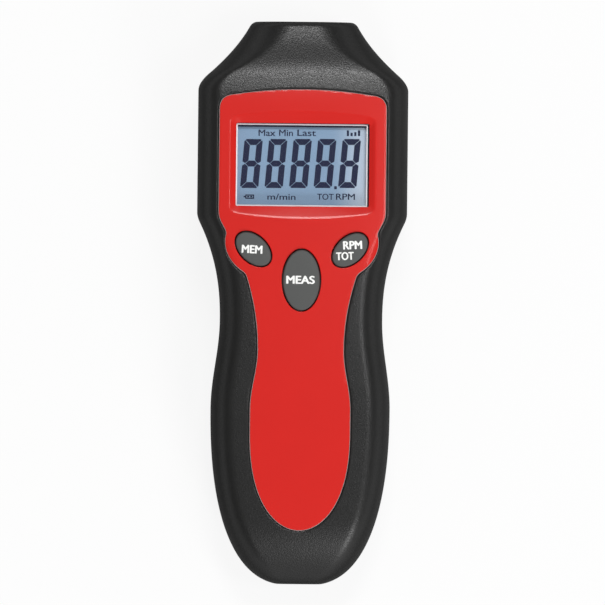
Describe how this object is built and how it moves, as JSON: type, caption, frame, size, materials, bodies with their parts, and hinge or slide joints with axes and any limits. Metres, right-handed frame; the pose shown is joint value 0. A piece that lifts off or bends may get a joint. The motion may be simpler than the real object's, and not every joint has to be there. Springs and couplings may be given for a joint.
{
  "type": "tachometer",
  "caption": "Handheld laser tachometer with a funnel nose, a display and oval keys on an inset red panel, and a sliding battery door on its flat back.",
  "frame": {"origin": "middle of the flat back, under the centre of the bounding box", "axes": "+Y from the tail towards the nose, +Z out of the display, +X to the right as the display is read"},
  "size_m": [0.0598, 0.16, 0.042],
  "materials": {
    "soft_black": "fine soft-touch texture",
    "panel_red": "satin",
    "key_grey": "matte",
    "clear_plastic": "clear",
    "lcd": "smooth",
    "white_plastic": "matte",
    "dark_plastic": "matte",
    "board_green": "solder mask",
    "screw_steel": "zinc plated",
    "brass": "turned",
    "lead_red": "smooth",
    "foam": "open foam",
    "battery_case": "satin"
  },
  "bodies": {
    "housing": {"front_shell": "soft_black", "rear_shell": "soft_black", "front_panel": "panel_red", "display_window": "clear_plastic", "lcd_glass": "lcd", "lcd_holder": "dark_plastic", "backlight_diffuser": "white_plastic", "elastomer_strip_lower": "dark_plastic", "elastomer_strip_upper": "dark_plastic", "switch_meas": "dark_plastic", "switch_mem": "dark_plastic", "switch_rpm_tot": "dark_plastic", "circuit_board": "board_green", "controller_chip": "dark_plastic", "crystal": "screw_steel", "regulator": "dark_plastic", "capacitor_large": "dark_plastic", "capacitor_small": "dark_plastic", "battery_9v": "battery_case", "battery_pad": "foam", "battery_snap": "dark_plastic", "battery_terminal_positive": "screw_steel", "battery_terminal_negative": "screw_steel", "lead_red": "lead_red", "lead_black": "dark_plastic", "nose_window": "clear_plastic", "sensor_holder": "dark_plastic", "laser_barrel": "brass", "laser_lens": "clear_plastic", "receiver_lens": "clear_plastic", "photodiode": "dark_plastic", "housing_screw_1": "screw_steel", "board_screw_1": "screw_steel", "housing_screw_2": "screw_steel", "board_screw_2": "screw_steel", "housing_screw_3": "screw_steel", "board_screw_3": "screw_steel", "housing_screw_4": "screw_steel", "board_screw_4": "screw_steel"},
    "meas_button": {"key_meas": "key_grey", "plunger_meas": "panel_red"},
    "mem_button": {"key_mem": "key_grey", "plunger_mem": "panel_red"},
    "rpm_tot_button": {"key_rpm_tot": "key_grey", "plunger_rpm_tot": "panel_red"},
    "door": {"battery_door": "soft_black"}
  },
  "joints": [
    {"name": "meas_press", "type": "slide", "parent": "housing", "child": "meas_button", "axis": [0, 0, -1], "range_m": [0, 0.0006], "stiffness_N_per_m": 2500, "springref_m": -0.0002},
    {"name": "mem_press", "type": "slide", "parent": "housing", "child": "mem_button", "axis": [0, 0, -1], "range_m": [0, 0.0006], "stiffness_N_per_m": 2500, "springref_m": -0.0002},
    {"name": "rpm_tot_press", "type": "slide", "parent": "housing", "child": "rpm_tot_button", "axis": [0, 0, -1], "range_m": [0, 0.0006], "stiffness_N_per_m": 2500, "springref_m": -0.0002},
    {"name": "door_slide", "type": "slide", "parent": "housing", "child": "door", "axis": [0, -1, 0], "range_m": [0, 0.06]}
  ]
}
